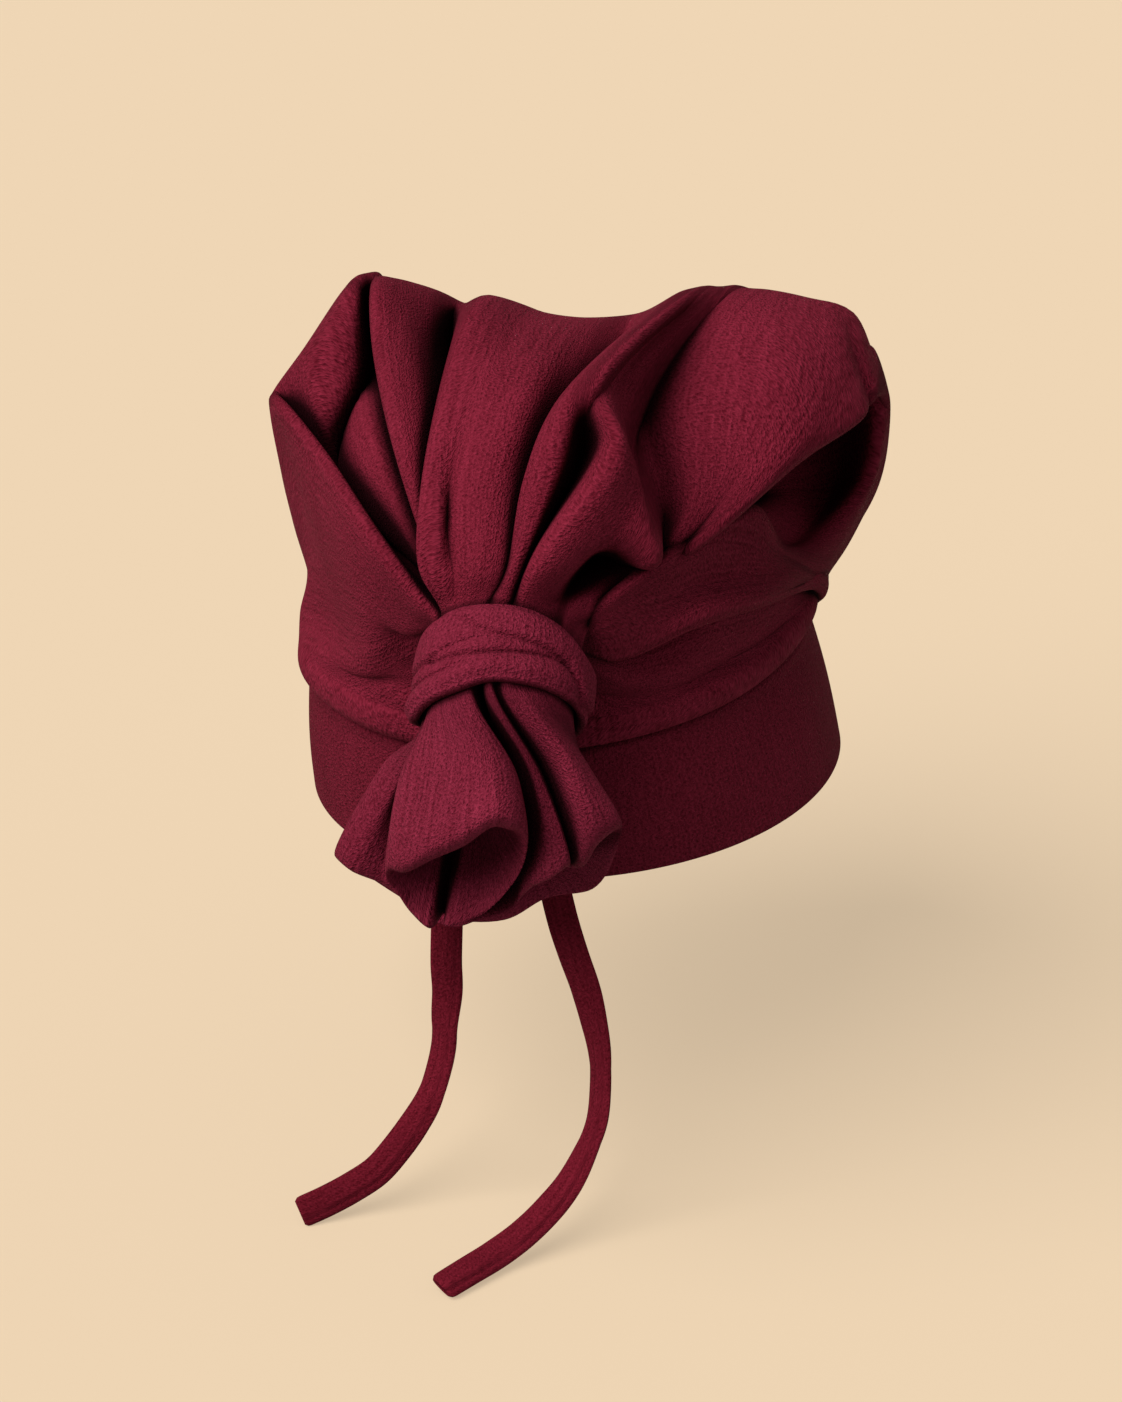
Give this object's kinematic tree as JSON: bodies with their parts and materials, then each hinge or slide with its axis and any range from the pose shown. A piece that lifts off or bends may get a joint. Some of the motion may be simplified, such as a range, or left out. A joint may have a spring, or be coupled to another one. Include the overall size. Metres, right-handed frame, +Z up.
{
  "type": "tie-knot beanie",
  "caption": "Soft head-wrap beanie: close band, full crown gathered forward into a wound knot, rolled cloth ends below it and flat hanging ties.",
  "frame": {"origin": "centre of the head opening, in the plane of the band's lower rim, where a head fills it", "axes": "+Z up out of the crown, -Y to the front where the knot sits, +X to the wearer's left"},
  "size_m": [0.2038, 0.2716, 0.2736],
  "materials": {
    "band_cloth": "matte burgundy crepe",
    "crown_cloth": "matte burgundy crepe",
    "wrap_cloth": "matte burgundy crepe",
    "front_end_cloth": "matte burgundy crepe",
    "back_end_cloth": "matte burgundy crepe",
    "tie_cloth": "matte burgundy crepe, sewn tube pressed flat"
  },
  "bodies": {
    "root": {"headband": "band_cloth", "crown": "crown_cloth", "knot_wrap": "wrap_cloth", "knot_end_front": "front_end_cloth", "knot_end_back": "back_end_cloth", "tie_right": "tie_cloth", "tie_left": "tie_cloth"}
  },
  "joints": []
}
